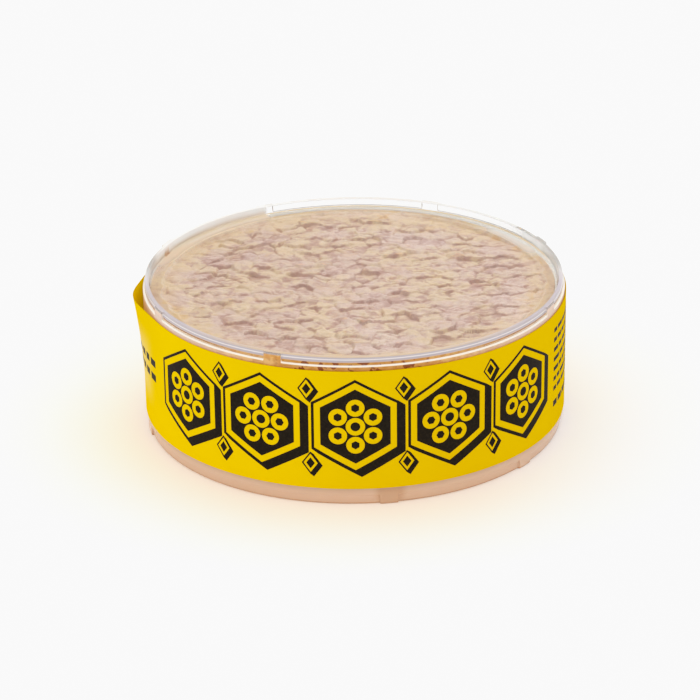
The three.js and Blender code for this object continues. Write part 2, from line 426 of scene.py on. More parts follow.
def film_finish():
    """Yellow label film, a little uneven where it lies on the case, with painted shade that makes
    it darker towards the right. It is matt apart from a sheen by its loose corner, and its back
    glows with painted light, which shows there as if light came through."""
    f = material("label_film")
    cloud = f.noise(30, 2.0, 0.5)
    right = f.node("ShaderNodeSeparateXYZ", None, {"Vector": f.place()}, "X") / LABEL_RADIUS
    # painted shade: darker towards the right, as the light is stronger on the left
    colour = f.mixed(right.ramp(-0.9, 0.5), "#ecc300", "#dcb101")
    colour = f.mixed(cloud.ramp(0.35, 0.7) * 0.5, colour, "#dfb501")
    # painted light: the film's back glows, which shows where its loose corner stands off
    behind = f.painted("behind")
    ripple = f.bump(f.noise(55, 2.0, 0.5), 0.12, 0.5 * MM)
    shader = f.shader(
        Base_Color=colour,
        Roughness=0.34 + 0.08 * cloud,
        Specular_IOR_Level=0.0,
        Coat_Weight=f.painted("sheen"),
        Coat_Roughness=0.3,
        Emission_Color=f.mixed(behind, "#000000", "#a87c00"),
        Emission_Strength=0.4,
        Normal=ripple,
    )
    return f.show(shader)


def ink_finish():
    """Black print, barely shinier than the film."""
    f = material("label_ink")
    speck = f.noise(1500, 2.0, 0.5)
    colour = f.mixed(speck.ramp(0.4, 0.7), "#1d1812", "#241e16")
    roughness = 0.36 + 0.08 * speck
    shader = f.shader(Base_Color=colour, Roughness=roughness, Specular_IOR_Level=0.02)
    return f.show(shader)


def floor_finish():
    """Seamless white studio paper, with painted light round the case: it glows there, warmed as by
    the light that comes through the honey, most of all in front on the left."""
    f = material("studio_paper")
    tooth = f.noise(900, 2.0, 0.5)
    colour = f.mixed(tooth, "#f8f8f8", "#fafaf9")
    away = f.node("ShaderNodeVectorMath", {"operation": "LENGTH"}, {0: f.place()}, "Value")
    near = 1 - away.ramp(COVER_RADIUS, PAINTED_GLOW_REACH)
    settings = {"operation": "DOT_PRODUCT"}
    across = f.node("ShaderNodeVectorMath", settings, {0: f.place(), 1: PAINTED_GLOW_TOWARD}, "Value")
    # painted light: a glow and a warmer colour on the paper round the case
    painted_glow = f.mixed(near * near, "#000000", "#b0aeab")
    near = near * near * across.ramp(-0.02, 0.06)
    painted_glow = f.mixed(near, painted_glow, "#ffd9ae")
    colour = f.mixed(near * 0.55, colour, "#f6e0c4")
    shader = f.shader(
        Base_Color=colour,
        Roughness=0.9,
        Specular_IOR_Level=0.0,
        Emission_Color=painted_glow,
        Emission_Strength=0.13,
    )
    return f.show(shader)


# ================================================================ mesh helpers

def piece(name, points, faces, finish, nodes=(), smooth=True):
    """A finished mesh piece of the object, which rides on the part. A smooth one is shaded so
    that its small faces, such as a fillet's, bend towards the large ones beside them."""
    mesh = bpy.data.meshes.new(name)
    mesh.from_pydata(np.asarray(points).tolist(), [], [list(map(int, f)) for f in faces])
    mesh.update()
    mesh.polygons.foreach_set("use_smooth", [smooth] * len(mesh.polygons))
    if smooth:
        mesh.normals_split_custom_set_from_vertices(area_normals(mesh))
    mesh.materials.append(finish)
    made = bpy.data.objects.new(name, mesh)
    bpy.context.scene.collection.objects.link(made)
    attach(made, "root")
    if nodes:
        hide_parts(*nodes)
    return made


def area_normals(mesh):
    """Normals at the points, each the sum of its faces' normals by their areas."""
    count = len(mesh.polygons)
    areas, totals = np.empty(count), np.empty(count, int)
    normals, corners = np.empty(3 * count), np.empty(len(mesh.loops), int)
    mesh.polygons.foreach_get("area", areas)
    mesh.polygons.foreach_get("normal", normals)
    mesh.polygons.foreach_get("loop_total", totals)
    mesh.loops.foreach_get("vertex_index", corners)
    shares = np.repeat(normals.reshape(-1, 3) * areas[:, None], totals, axis=0)
    sums = np.stack([np.bincount(corners, shares[:, k], len(mesh.vertices)) for k in range(3)], 1)
    return sums / np.maximum(np.linalg.norm(sums, axis=1, keepdims=True), 1e-20)


def on_round(azimuth, radius, z):
    """Points at azimuths in degrees, radii and heights, which may be arrays."""
    turn = np.radians(azimuth)
    return np.stack(np.broadcast_arrays(radius * np.sin(turn), -radius * np.cos(turn), z), -1)


def band_faces(columns, rows, closed_rows=False):
    """Quads of a grid whose columns go all the way round. Point = column * rows + row."""
    faces = []
    for column in range(columns):
        here, there = column * rows, (column + 1) % columns * rows
        for row in range(rows if closed_rows else rows - 1):
            above = (row + 1) % rows
            faces.append((here + row, there + row, there + above, here + above))
    return faces


def corner(centre_r, centre_z, radius, start, end, steps=5):
    """Points of a rounded corner of an outline, from one angle to another, in degrees."""
    turns = np.radians(np.linspace(start, end, steps))
    return [(centre_r + radius * math.cos(t), centre_z + radius * math.sin(t)) for t in turns]


def smoothstep(value, low, high):
    t = np.clip((value - low) / (high - low), 0, 1)
    return t * t * (3 - 2 * t)


def within(value, centre, full, none):
    """1 no further than full from a centre, and 0 further than none from it."""
    return smoothstep(-np.abs(value - centre), -none, -full)


def angle_between(azimuth, other):
    """Difference of two azimuths in degrees, from -180 to 180."""
    return (np.asarray(azimuth) - other + 180) % 360 - 180


# ================================================================ clear covers

HALF_LUG = math.degrees(LUG_WIDTH / 2 / COVER_RADIUS)
SIDE_STEPS = np.array([-0.45, -0.2, -0.1, -0.04, 0.04, 0.1, 0.2, 0.45])   # degrees
SIDE_SHARES = np.array([1, 1, 0.97, 0.86, 0.14, 0.03, 0, 0])


def lug_share(azimuth):
    """1 on the lugs and 0 between them, with a steep rounded side between."""
    away = np.min([np.abs(angle_between(azimuth, lug)) for lug in LUG_AZIMUTHS], axis=0)
    return np.interp(away - HALF_LUG, SIDE_STEPS, SIDE_SHARES)


def cover_azimuths():
    """Columns once a degree, and closer where a lug ends."""
    close = np.concatenate([
        lug + side * (HALF_LUG + SIDE_STEPS) for lug in LUG_AZIMUTHS for side in (-1, 1)
    ])
    plain = np.arange(-180, 180, 1.0)
    clear_of = [a for a in plain if min(np.abs(angle_between(close, a))) > 0.3]
    return np.sort(np.concatenate([clear_of, close]))


def cover_outlines():
    """The cover's section, from the panel's underside round the skirt and up over the ridge, and
    the same section where a lug fills the ledge outside the ridge."""
    top, under = PANEL_TOP, PANEL_UNDER
    inner, outer = COVER_RADIUS - COVER_WALL, COVER_RADIUS
    end = MIDDLE + SKIRT_GAP / 2
    root, lip, shoulder, crest = 0.4 * MM, 0.2 * MM, 0.38 * MM, 0.3 * MM
    draft = 0.08 * MM
    outside, inside = RIDGE_OUTER - draft, RIDGE_INNER + draft
    skirt = [(inner - 8 * root, under), (inner - 1.5 * root, under)]
    skirt += corner(inner - root, under - root, root, 90, 0)
    skirt += [(inner, end + 2 * lip), (inner, end + lip)]
    skirt += corner(inner + lip, end + lip, lip, 180, 270, 4)[1:]
    skirt += corner(outer - lip, end + lip, lip, 270, 360, 4)
    skirt += [(outer, top - 5 * MM), (outer, top - 2 * shoulder)]
    ledge = corner(outer - shoulder, top - shoulder, shoulder, 0, 80, 6)
    ledge += [(RIDGE_OUTER + 0.02 * MM, top + 0.02 * MM), (RIDGE_OUTER, top + 0.12 * MM)]
    ledge += [(outside, HEIGHT - 1.3 * crest)]
    filled = [(outer, z) for z in np.linspace(top - shoulder, HEIGHT - 1.3 * crest, len(ledge))]
    ledge += corner(outside - crest, HEIGHT - crest, crest, 0, 90)
    filled += corner(outer - crest, HEIGHT - crest, crest, 0, 90)
    inward = corner(inside + crest, HEIGHT - crest, crest, 90, 180)
    inward += [(inside, HEIGHT - 1.3 * crest), (inside - draft, top + 1.4 * root)]
    inward += corner(inside - draft - root, top + root, root, 0, -90)
    inward += [(inside - 1.8 * root, top)]
    inward += [(COMB_RADIUS - k * MM, top) for k in (0.2, 1, 2, 3, 4.5, 6)]
    return np.array(skirt + ledge + inward), np.array(skirt + filled + inward)


def cover_mesh():
    """Points and faces of the upper cover."""
    azimuths = cover_azimuths()
    plain, filled = cover_outlines()
    share = lug_share(azimuths)[:, None, None]
    sections = plain * (1 - share) + filled * share
    points = on_round(azimuths[:, None], sections[..., 0], sections[..., 1]).reshape(-1, 3)
    columns, rows = len(azimuths), len(plain)
    faces = band_faces(columns, rows)
    under, over = len(points), len(points) + 1
    ends = [(0, 0, plain[0, 1]), (0, 0, plain[-1, 1])]
    for column in range(columns):
        here, there = column * rows, (column + 1) % columns * rows
        faces.append((under, there, here))
        faces.append((over, here + rows - 1, there + rows - 1))
    return np.vstack([points, ends]), faces


def mark(made, name, values):
    """Paints values onto a piece's points, for its finish to read."""
    attribute = made.data.attributes.new(name, "FLOAT", "POINT")
    attribute.data.foreach_set("value", np.asarray(values, np.float32))


def azimuth_and_radius(points):
    x, y = points[:, 0], points[:, 1]
    return np.degrees(np.arctan2(x, -y)), np.hypot(x, y)


def in_front(azimuth, fade):
    """1 in front, and 0 at the back, with a fade between two azimuths on each side."""
    return 1 - smoothstep(np.abs(azimuth), *fade)


def soaked_share(azimuth):
    return in_front(azimuth, SOAKED)


def milky_share(azimuth):
    start = smoothstep(azimuth, MILKY_START, MILKY_START + 0.4)
    return start * (1 - smoothstep(azimuth, *MILKY_FADE))


def on_lug(points):
    """1 on the outer faces of the lugs."""
    radius = azimuth_and_radius(points)[1]
    high = points[:, 2] > PANEL_TOP - 0.3 * MM
    return high * smoothstep(radius, RIDGE_OUTER + 0.2 * MM, COVER_RADIUS - 0.05 * MM)


def upper_haze(points):
    """Between two lugs at the back on the left, the ridge and the panel beside it are milky.
    There is a milky spot at the back on the right, and the ridge is hazed at both sides."""
    azimuth, radius = azimuth_and_radius(points)
    z = points[:, 2]
    left = smoothstep(radius, COMB_RADIUS - 5 * MM, COMB_RADIUS + 2 * MM)
    left *= 0.62 + 0.38 * smoothstep(z, PANEL_TOP + 0.1 * MM, PANEL_TOP + MM)
    left *= 0.86 * milky_share(azimuth)
    right = within(radius, COMB_RADIUS - 0.6 * MM, 0.8 * MM, 2.6 * MM)
    right *= 0.38 * within(azimuth, MILKY_SPOT, 7, 19)
    sides = radius > RIDGE_OUTER - 1.5 * RIDGE_WIDTH
    sides = sides * 0.35 * within(np.abs(azimuth), SIDE_HAZE, 12, 28)
    crest = 0.7 * (np.abs(azimuth) > 125) * (z > HEIGHT - 0.35 * MM)
    haze = np.max([left, right, sides, crest], axis=0)
    return np.where(z < PANEL_TOP - 0.5 * COVER_PANEL, 0, haze)


def upper_cream(points):
    """The milky stretch turns to cream towards the ridge's root."""
    return milky_share(azimuth_and_radius(points)[0])


def upper_soaked(points):
    return soaked_share(azimuth_and_radius(points)[0])


def upper_reflection_band(points):
    """The ridge's outer wall and its crest carry painted reflections in front and at the sides."""
    azimuth, radius = azimuth_and_radius(points)
    on_ridge = radius > RIDGE_OUTER - 1.5 * RIDGE_WIDTH
    return in_front(azimuth, BAND_FADE) * on_ridge * (1 - 0.8 * on_lug(points))


def upper_wall(points):
    """The ridge's outer wall alone, between the lugs."""
    return upper_reflection_band(points) * (azimuth_and_radius(points)[1] < RIDGE_OUTER + 0.005 * MM)


def upper_lug_highlight(points):
    """The outer edge of one lug at the back has a brown painted highlight."""
    azimuth = azimuth_and_radius(points)[0]
    return (np.abs(angle_between(azimuth, HIGHLIGHTED_LUG)) < HALF_LUG) * on_lug(points)


def upper_glint(points):
    """A painted glint, brown, at the root of the ridge's inner wall on the left."""
    azimuth, radius = azimuth_and_radius(points)
    wall = np.abs(radius - RIDGE_INNER + 0.1 * MM) < 0.35 * MM
    low = np.abs(points[:, 2] - PANEL_TOP) < 0.7 * MM
    return (np.abs(azimuth - BROWN_GLINT) < 1.2) * wall * low


def upper_foot(points):
    """Wax and honey show through the skirt below the ledge, and through the lugs."""
    azimuth, radius = azimuth_and_radius(points)
    outside = smoothstep(radius, COVER_RADIUS - 0.12 * MM, COVER_RADIUS - 0.02 * MM)
    return outside * (points[:, 2] <= HEIGHT - 0.45 * MM) * in_front(azimuth, FOOT_FADE)


def upper_edge(points):
    """At the back, haze fills the corner inside the ridge."""
    azimuth, radius = azimuth_and_radius(points)
    back = (1 - in_front(azimuth, EDGE_FADE)) * (1 - milky_share(azimuth))
    inside = radius < RIDGE_INNER + 0.15 * MM
    return back * inside * smoothstep(radius, COMB_RADIUS + 1.1 * MM, COMB_RADIUS + 1.5 * MM)


def upper_ledge_highlight(points):
    """The ledge outside the ridge gets a painted highlight in front. The ridge's own lowest points
    are left out, because the mark would run up its wall from them."""
    azimuth, radius = azimuth_and_radius(points)
    z = points[:, 2]
    level = smoothstep(z, PANEL_TOP - 0.3 * MM, PANEL_TOP - 0.12 * MM)
    level *= z < PANEL_TOP + 0.15 * MM
    outside = (radius > RIDGE_OUTER + 0.01 * MM) * (radius < COVER_RADIUS - 0.04 * MM)
    return level * outside * in_front(azimuth, LEDGE_HIGHLIGHT_FADE)


def lower_haze(points):
    """The foot is hazed from table to label: wax, and painted light for the honey's glow."""
    radius = azimuth_and_radius(points)[1]
    outside = smoothstep(radius, RIDGE_OUTER - 2.2 * RIDGE_WIDTH, RIDGE_INNER)
    return 0.8 * outside * smoothstep(points[:, 2], LABEL_BOTTOM + 5 * MM, LABEL_BOTTOM)


def lower_shade(points):
    """Painted shade at one lug, and a thin painted shadow where the foot meets the table."""
    azimuth, radius = azimuth_and_radius(points)
    lug = within(azimuth, FOOT_SHADE, 2.5, 5) * (radius > RIDGE_OUTER - 0.1 * MM)
    return np.maximum(0.45 * lug, 1 - smoothstep(points[:, 2], 0.1 * MM, 0.5 * MM))


UPPER_MARKS = {
    "haze": upper_haze, "cream": upper_cream, "soaked": upper_soaked, "band": upper_reflection_band,
    "wall": upper_wall, "rust": upper_lug_highlight, "patch": upper_glint, "foot": upper_foot,
    "edge": upper_edge, "ledge": upper_ledge_highlight,
}
LOWER_MARKS = {"haze": lower_haze, "patch": lower_shade}


def add_covers():
    points, faces = cover_mesh()
    finish = clear_finish("clear_plastic")
    upper = piece("clear_cover_upper", points, faces, finish, ["cover_top"])
    for name, paint in UPPER_MARKS.items():
        mark(upper, name, paint(points))
    turn = Matrix.Rotation(math.radians(LOWER_COVER_TURN), 3, "Z")
    points = (points * (-1, 1, -1) + (0, 0, HEIGHT)) @ np.array(turn.transposed())
    # peach: painted light for the honey's glow, seen through the foot
    finish = clear_finish("clear_plastic_foot", "#e2bda2")
    lower = piece("clear_cover_lower", points, faces, finish, ["cover_bottom"])
    for name, paint in LOWER_MARKS.items():
        mark(lower, name, paint(points))


# ================================================================ wax by the rim

def round_noise(azimuth, size, seed):
    """Smooth noise from -1 to 1 along the rim, whose lumps are about size degrees long."""
    return value_noise(azimuth, 0 * azimuth, size, seed)


def rim_reach(azimuth):
    """How far out the wax reaches over the ring: to the skirt in front and less far behind, but
    further again at the side on the left."""
    wall = COVER_RADIUS - COVER_WALL
    behind = COMB_RADIUS + 0.9 * MM - 0.7 * MM * smoothstep(np.abs(azimuth), 112, 125)
    behind += 1.3 * MM * within(azimuth, -97, 18, 30)
    behind += 0.2 * MM * round_noise(azimuth, 7, 17)
    return wall + (behind - wall) * (1 - in_front(azimuth, FRONT_WAX))


def add_rim(finish):
    """Wax pressed against the underside of the upper cover, over the ring. In front it fills
    the corner and runs down the skirt."""
    contact = 0.03 * MM          # how far it sits in the plastic, so that no air is between
    root, thin = 0.4 * MM, 0.28 * MM
    azimuths = np.arange(-180, 180, 1.0)[:, None]
    reach = rim_reach(azimuths)
    depth = 0.5 * MM + 2.5 * MM * in_front(azimuths, FRONT_WAX)
    inner = COMB_RADIUS - MM + 0.4 * MM * round_noise(azimuths, 5, 29)
    section = [(inner, -0.5 * thin), (inner + 0.6 * MM, contact)]
    section += [(reach + r, z) for r, z in corner(-root, -root, root + contact, 90, 0)]
    section += [(reach + contact, -depth), (reach - thin, -depth)]
    section += [(reach - thin, -root), (reach - root, -thin), (inner, -thin)]
    radius, z = (
        np.hstack([part[k] + 0 * azimuths for part in section[::-1]]) for k in (0, 1)
    )
    points = on_round(azimuths, radius, PANEL_UNDER + z).reshape(-1, 3)
    faces = band_faces(len(azimuths), len(section), closed_rows=True)
    rim = piece("wax_rim", points, faces, finish)
    azimuth = azimuth_and_radius(points)[0]
    left = within(azimuth, -94, 12, 26) * round_noise(azimuth, 5, 3)
    mark(rim, "tone", 0.5 + 0.5 * round_noise(azimuth, 6, 31))
    # painted shade over the rim's wax, uneven along it
    mark(rim, "hollow", 0.2 + 0.25 * round_noise(azimuth, 4, 47))
    mark(rim, "wall", np.full(len(points), 0.4))
    mark(rim, "soaked", np.maximum(soaked_share(azimuth), 0.5 * left))
    mark(rim, "pressed", 1 - soaked_share(azimuth))


# ================================================================ section rings

def add_rings():
    finish = ring_finish()
    ease = 0.3 * MM
    inner = RING_RADIUS - RING_WALL
    for name, node in (("section_ring_upper", "ring_upper"), ("section_ring_lower", "ring_lower")):
        low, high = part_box(node)
        line = corner(inner + ease, low.z + ease, ease, 180, 270, 4)
        line += corner(RING_RADIUS - ease, low.z + ease, ease, 270, 360, 4)
        line += corner(RING_RADIUS - ease, high.z - ease, ease, 0, 90, 4)
        line += corner(inner + ease, high.z - ease, ease, 90, 180, 4)
        line = np.array(line)
        azimuths = np.arange(-180, 180, 2.0)
        points = on_round(azimuths[:, None], line[:, 0], line[:, 1]).reshape(-1, 3)
        faces = band_faces(len(azimuths), len(line), closed_rows=True)
        piece(name, points, faces, finish, [node])


# ================================================================ capped comb

def value_noise(x, y, size, seed):
    """Smooth noise from -1 to 1 whose lumps are about size across."""
    draws = np.random.default_rng(seed).uniform(-1, 1, (256, 256))
    u, v = x / size + 100.37, y / size + 100.71
    i, j = np.floor(u).astype(int), np.floor(v).astype(int)
    a, b = smoothstep(u - i, 0, 1), smoothstep(v - j, 0, 1)
    rows = []
    for q in (0, 1):
        here, there = (draws[(i + p) % 256, (j + q) % 256] for p in (0, 1))
        rows.append(here * (1 - a) + there * a)
    return rows[0] * (1 - b) + rows[1] * b


def cell_centres(rng):
    """Centres of the cells, a little off a honeycomb's regular places."""
    j, i = np.meshgrid(np.arange(-12, 13), np.arange(-11, 12), indexing="ij")
    centres = np.stack([i + j % 2 / 2, j * math.sqrt(3) / 2], -1).reshape(-1, 2) * CELL_PITCH
    centres = centres[np.hypot(*centres.T) < COMB_RADIUS + CELL_PITCH]
    return centres + rng.normal(0, CELL_JITTER * CELL_PITCH, centres.shape)


def over_cells(places, centres, values, lean):
    """At each place: how far it is from its cell's border, how far that border runs from side
    to side, its cell's values, and how far the cell's lean lowers it. At a border, the values
    and the lean of the cells beside it are blended."""
    results = []
    for part in np.array_split(places, 24):
        offset = part[:, None] - centres[None]
        away = np.hypot(offset[..., 0], offset[..., 1])
        near = np.argpartition(away, 3, axis=1)[:, :3]
        near = np.take_along_axis(near, np.argsort(np.take_along_axis(away, near, 1), 1), 1)
        distance = np.take_along_axis(away, near, 1)
        across = centres[near[:, 1]] - centres[near[:, 0]]
        between = np.linalg.norm(across, axis=1)
        border = (distance[:, 1] ** 2 - distance[:, 0] ** 2) / (2 * between)
        weight = np.exp(-(distance - distance[:, :1]) / CAP_BLEND)
        weight /= weight.sum(1, keepdims=True)
        tilt = (np.take_along_axis(offset, near[..., None], 1) * lean[near]).sum(2)
        results.append(np.stack([
            border,
            np.abs(across[:, 1]) / between,
            *[(value[near] * weight).sum(1) for value in values],
            (tilt * weight).sum(1),
        ], 1))
    return np.vstack(results).T


def capped_relief(x, y, seed):
    """How far the caps lie below the comb's highest points, and what the colour of the wax goes
    by: painted shade in the gaps, creases and sunk caps, and the tone of its cap."""
    rng = np.random.default_rng(seed)
    centres = cell_centres(rng)
    count = len(centres)
    level = rng.uniform(0, 1, count)
    sunk = rng.uniform(0, 1, count) ** 4
    lean = rng.normal((0, CAP_LEAN), CAP_LEAN_SPREAD, (count, 2))
    tone = rng.uniform(0, 1, count)

    def noise(size, layer):
        return value_noise(x, y, size * MM, seed + layer)

    moved = np.stack([
        x + (1.2 * noise(4.5, 1) + 0.45 * noise(1.5, 2)) * MM,
        y + (1.3 * noise(4.5, 3) + 0.45 * noise(1.5, 4)) * MM,
    ], 1)
    found = over_cells(moved, centres, (level, sunk, tone), lean)
    border, lengthwise, level, sunk, tone, tilt = found
    crown = (1 - np.clip(border / (0.5 * CELL_PITCH), 0, 1)) ** 2
    openness = smoothstep(noise(3.2, 5) + 0.5 * noise(1.4, 6), -0.55, 0.75)
    width = GAP_WIDTH * (0.6 + 1.1 * smoothstep(noise(2.6, 7), 0.1, 0.9))
    gap = np.exp(-((border / width) ** 2)) * openness * (0.45 + 0.55 * lengthwise)
    drop = CAP_STEP * level + CAP_SINK * sunk + CAP_CROWN * crown + tilt + GAP_DEPTH * gap
    drop += CRUMPLE * (noise(1.9, 8) + 0.6 * noise(0.9, 9))
    fold = y / FOLD_PITCH + 1.2 * noise(4.4, 11) + 0.55 * noise(1.9, 12)
    fold -= np.floor(fold)
    strong = smoothstep(noise(3.1, 13) + 0.4 * noise(1.3, 14), -0.35, 0.55)
    drop += FOLD_STEP * strong * np.interp(fold, (0, FOLD_BRINK, 1), (0, 1, 0))
    crease = smoothstep(fold, 0.55, FOLD_BRINK) * (1 - smoothstep(fold, FOLD_BRINK, 1))
    # painted shade: how dark the wax is drawn in gaps, sunk caps and the creases of folds
    hollow = gap + 0.4 * sunk + 0.5 * strong * crease + 0.15 * noise(1.9, 8)
    drop += COMB_WAVE * (1 + noise(17, 10))
    return drop - np.percentile(drop, 1), np.clip(hollow, 0, 1), tone


def wall_fall(x, y):
    """How far the wax falls away by the wall: most at the back on both sides."""
    from_wall = COMB_RADIUS - np.hypot(x, y)
    azimuth = np.degrees(np.arctan2(x, -y))
    depth = WALL_FALL
    for place, half_width, further in SIDE_FALLS:
        depth = depth + further * np.exp(-((angle_between(azimuth, place) / half_width) ** 2))
    return depth * np.exp(-((from_wall / WALL_FALL_WIDTH) ** 2))


def round_grid(cells):
    """A square grid drawn out to a unit disc, and its border's points in order."""
    u, v = np.meshgrid(*[np.linspace(-1, 1, cells + 1)] * 2, indexing="ij")
    wide = np.abs(u) > np.abs(v)
    reach = np.where(wide, u, v)
    with np.errstate(divide="ignore", invalid="ignore"):
        turn = np.where(wide, math.pi / 4 * v / u, math.pi / 2 - math.pi / 4 * u / v)
    turn = np.nan_to_num(turn)
    points = np.stack([reach * np.cos(turn), reach * np.sin(turn)], -1).reshape(-1, 2)
    size = cells + 1
    index = np.arange(size * size).reshape(size, size)
    border = np.concatenate([index[:-1, 0], index[-1, :-1], index[:0:-1, -1], index[0, :0:-1]])
    quads = np.stack([index[:-1, :-1], index[1:, :-1], index[1:, 1:], index[:-1, 1:]], -1)
    return points, quads.reshape(-1, 4), border


def comb_face(cells, side, seed):
    """One capped face: its points, quads, border and colour marks. Its caps lie flatter towards
    the wall, and the outermost wax is pressed against the cover."""
    disc, quads, border = round_grid(cells)
    x, y = (disc * COMB_RADIUS).T
    radius, azimuth = np.hypot(x, y), np.degrees(np.arctan2(x, -y))

    def outward(radius, start, end):
        return smoothstep(radius, COMB_RADIUS - start * MM, COMB_RADIUS - end * MM)

    drop, hollow, tone = capped_relief(x, y, seed)
    calm = 1 - 0.5 * outward(radius, 9, 3)
    height = CHAMBER_HALF + CAP_RISE
    height -= (drop * calm + wall_fall(x, y)) * (1 - 0.8 * outward(radius, 2.6, 0.8))
    touching = outward(radius + 0.7 * MM * value_noise(x, y, 3 * MM, 61), 2.2, 1.2)
    contact = 0.02 * MM          # how far it sits in the plastic, so that no air is between
    height += touching * (PANEL_UNDER + contact - MIDDLE - height)
    honey = soaked_share(azimuth)
    back = smoothstep(np.abs(azimuth), 100, 150)
    yellow = outward(radius, 8, 1)
    yellow += (0.45 + 0.3 * back) * (1 - honey) * outward(radius, 7 + 7 * back, 1)
    soaked = honey * outward(radius, 3.2, 1.8)
    marks = [hollow * calm, tone, np.minimum(yellow, 1), soaked, touching * (1 - honey)]
    return np.column_stack([x, y, MIDDLE + side * height]), quads[:, ::side], border, marks


def add_comb():
    """The slab of comb: two capped faces and the side wall, with fewer columns than the upper
    face has points on its border."""
    top, top_quads, top_border, top_marks = comb_face(FACE_CELLS, 1, 41)
    bottom, bottom_quads, bottom_border, bottom_marks = comb_face(FACE_CELLS // 4, -1, 87)
    points, marks = [top, bottom], [np.array(top_marks), np.array(bottom_marks)]
    faces = top_quads.tolist() + (bottom_quads + len(top)).tolist()
    first = len(top) + len(bottom)
    high, low = top[top_border[::4]], bottom[bottom_border]
    loops = []
    for share in np.linspace(0, 1, 9)[1:-1]:
        row = high * (1 - share) + low * share
        along = np.arctan2(row[:, 0], row[:, 1]) * COMB_RADIUS
        swell = value_noise(along, row[:, 2], 4 * MM, 5)
        row[:, :2] *= (1 + 0.004 * swell)[:, None]
        loops.append(first + np.arange(len(row)))
        first += len(row)
        points.append(row)
        level = np.ones_like(swell)
        # painted shade on the side wall, uneven; then the tone, wall, soaked and pressed marks
        marks.append(np.array([0.3 + 0.3 * swell, 0.5 * level, level, level, 0 * level]))
    loops.append(bottom_border + len(top))
    for upper, lower in zip(loops, loops[1:]):
        faces += np.stack([upper, lower, np.roll(lower, -1), np.roll(upper, -1)], 1).tolist()
    below = loops[0]
    for k in range(len(below)):
        after = (k + 1) % len(below)
        along = [int(top_border[(4 * k + i) % len(top_border)]) for i in range(4, -1, -1)]
        faces.append((*along, int(below[k]), int(below[after])))
    finish = wax_finish()
    comb = piece("comb_wax", np.vstack(points), faces, finish, ["comb"])
    names = ("hollow", "tone", "wall", "soaked", "pressed")
    for name, values in zip(names, np.hstack(marks)):
        mark(comb, name, values)
    add_rim(finish)


# ================================================================ label

def flare(azimuth, z):
    """How far the label stands off the case where its upper edge has come loose."""
    across = angle_between(azimuth, FLARE_AZIMUTH) / FLARE_HALF_WIDTH
    up = np.clip((z - FLARE_START) / (LABEL_TOP - FLARE_START), 0, None)
    return FLARE_REACH * np.exp(-across**2) * up**1.7


def label_face(azimuth, z):
    """Radius of the label's outer face."""
    return LABEL_RADIUS + flare(azimuth, z)


def add_label_film():
    """One strip wound once round the case, its end lapped over its start at the back."""
    overlap = math.degrees(SEAM_OVERLAP / LABEL_RADIUS)
    azimuths = np.arange(SEAM_AZIMUTH - 360 - overlap, SEAM_AZIMUTH + 0.01, 1.0)
    heights = np.linspace(LABEL_BOTTOM, LABEL_TOP, 15)
    step_up = smoothstep(azimuths, SEAM_AZIMUTH - overlap - 2.5, SEAM_AZIMUTH - overlap)
    lift = np.where(azimuths > 0, step_up * 1.15 * FILM, 0)[:, None]
    outer = label_face(azimuths[:, None], heights) + lift
    inner = outer - FILM
    rows = len(heights)
    section = np.concatenate([outer, inner[:, ::-1]], 1)
    levels = np.broadcast_to(np.concatenate([heights, heights[::-1]]), section.shape)
    points = on_round(azimuths[:, None], section, levels).reshape(-1, 3)
    faces = band_faces(len(azimuths), 2 * rows, closed_rows=True)
    faces = faces[:(len(azimuths) - 1) * 2 * rows]
    last = (len(azimuths) - 1) * 2 * rows
    for row in range(rows - 1):
        far = 2 * rows - 1 - row
        faces.append((row, row + 1, far - 1, far))
        faces.append((last + row, last + far, last + far - 1, last + row + 1))
    film = piece("label_film", points, faces, film_finish(), ["label"])
    mark(film, "behind", np.tile(np.arange(2 * rows) >= rows, len(azimuths)))
    sheen = 0.5 * within(azimuth_and_radius(points)[0], SHEEN_AZIMUTH, 3, 12)
    middle = (LABEL_BOTTOM + LABEL_TOP) / 2
    mark(film, "sheen", sheen * within(points[:, 2], middle, 4 * MM, 11 * MM))


# ================================================================ label's ornament

def polygon(sides, radius, centre=(0, 0), turn=0):
    """A regular polygon's corners in the label's plane, in millimetres."""
    turns = np.radians(turn) + np.arange(sides) * 2 * math.pi / sides
    return np.stack([centre[0] + radius * np.cos(turns), centre[1] + radius * np.sin(turns)], 1)


class Print:
    """Flat shapes laid over each other in the label's plane. Each is ink or bare film."""

    def __init__(self):
        self.shapes = []

    def add(self, outline, ink=True):
        self.shapes.append((np.asarray(outline, float), ink))

    def inked_triangles(self, low, high, strip=1.5):
        """What is inked on top, as points and triangles, cut into narrow upright strips."""
        points, outlines = [], []
        for outline, _ in self.shapes:
            outlines.append(list(range(len(points), len(points) + len(outline))))
            points += [Vector(p) for p in outline]
        lines = []
        for x in np.arange(low[0], high[0] + strip, strip):
            lines.append((len(points), len(points) + 1))
            points += [Vector((x, low[1])), Vector((x, high[1]))]
        found, _, faces, _, _, sources = delaunay_2d_cdt(points, lines, outlines, 1, 1e-5)
        inked = [f for f, on in zip(faces, sources) if on and self.shapes[max(on)][1]]
        return np.array([tuple(p) for p in found]), inked


